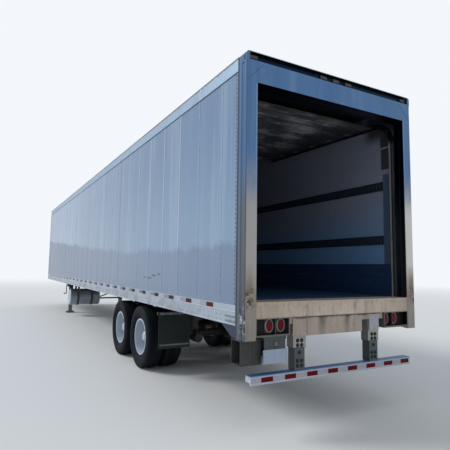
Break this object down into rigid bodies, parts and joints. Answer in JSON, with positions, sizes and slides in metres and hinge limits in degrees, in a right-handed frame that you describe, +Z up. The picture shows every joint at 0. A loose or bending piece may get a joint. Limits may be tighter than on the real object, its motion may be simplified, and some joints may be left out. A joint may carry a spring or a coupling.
{
  "type": "semi trailer",
  "caption": "Insulated box semi trailer with a roll-up rear door, kingpin coupler, landing legs and a sliding tandem of dual wheels.",
  "frame": {"origin": "on the ground below the centre of the bounding box, the trailer standing on its tyres and landing feet", "axes": "+X forward to the kingpin, +Y to the road side (left when facing forward), +Z up"},
  "size_m": [16.154, 2.591, 4.022],
  "materials": {
    "white_paint": "glossy white panel paint",
    "rail_alloy": "mill aluminium extrusion",
    "frame_steel": "stainless rear frame, dirty below",
    "galvanised": "galvanised steel",
    "black_paint": "black chassis paint",
    "deck": "dark worn deck",
    "tyre": "worn tyre rubber",
    "rubber": "black flap rubber",
    "wheel_white": "white painted steel disc wheel",
    "lamp_red": "red lamp lens in a light ring",
    "lamp_amber": "small marker lens",
    "beam_white": "white guard beam with red blocks",
    "tank_paint": "dark grey-blue tank",
    "door_white": "off-white door panels",
    "track_steel": "zinc-plated steel",
    "scuff": "dark blue-grey scuff lining"
  },
  "bodies": {
    "trailer": {"bottom_rail_left": "rail_alloy", "bottom_rail_right": "rail_alloy", "cargo_tracks": "track_steel", "coupler_plate": "black_paint", "crossmembers": "rail_alloy", "door_balancer": "track_steel", "door_track_left": "track_steel", "door_track_right": "track_steel", "floor": "deck", "front_connectors": "black_paint", "front_frame": "rail_alloy", "front_wall": "white_paint", "fuel_tank": "tank_paint", "guard_beam": "beam_white", "guard_posts": "galvanised", "landing_leg_left": "black_paint", "landing_leg_right": "black_paint", "leg_bracing": "black_paint", "leg_ram_left": "galvanised", "leg_ram_right": "galvanised", "marker_lamps": "lamp_amber", "overhead_door": "door_white", "plate_bracket": "galvanised", "rear_header": "frame_steel", "rear_post_left": "frame_steel", "rear_post_right": "frame_steel", "rear_sill": "frame_steel", "roof": "rail_alloy", "scuff_bands": "scuff", "side_wall_left": "white_paint", "side_wall_right": "white_paint", "slide_rails": "galvanised", "step_box": "galvanised", "tail_lamps": "lamp_red", "tank_straps": "black_paint", "top_rail_left": "rail_alloy", "top_rail_right": "rail_alloy"},
    "tandem": {"bogie_frame": "black_paint", "leaf_springs": "black_paint", "axles": "black_paint", "air_tank": "tank_paint", "mud_flaps": "rubber"},
    "rear_left_wheels": {"tyres_rear_left": "tyre", "wheels_rear_left": "wheel_white"},
    "rear_right_wheels": {"tyres_rear_right": "tyre", "wheels_rear_right": "wheel_white"},
    "front_left_wheels": {"tyres_front_left": "tyre", "wheels_front_left": "wheel_white"},
    "front_right_wheels": {"tyres_front_right": "tyre", "wheels_front_right": "wheel_white"}
  },
  "joints": [
    {"name": "tandem_slide", "type": "slide", "parent": "trailer", "child": "tandem", "axis": [1, 0, 0], "range_m": [-1.9, 0.6]},
    {"name": "rear_left_wheels_turn", "type": "hinge", "parent": "tandem", "child": "rear_left_wheels", "pos_m": [-4.667, 0.99, 0.51], "axis": [0, 1, 0], "continuous": true},
    {"name": "rear_right_wheels_turn", "type": "hinge", "parent": "tandem", "child": "rear_right_wheels", "pos_m": [-4.667, -0.99, 0.51], "axis": [0, 1, 0], "continuous": true},
    {"name": "front_left_wheels_turn", "type": "hinge", "parent": "tandem", "child": "front_left_wheels", "pos_m": [-3.422, 0.99, 0.51], "axis": [0, 1, 0], "continuous": true},
    {"name": "front_right_wheels_turn", "type": "hinge", "parent": "tandem", "child": "front_right_wheels", "pos_m": [-3.422, -0.99, 0.51], "axis": [0, 1, 0], "continuous": true}
  ]
}
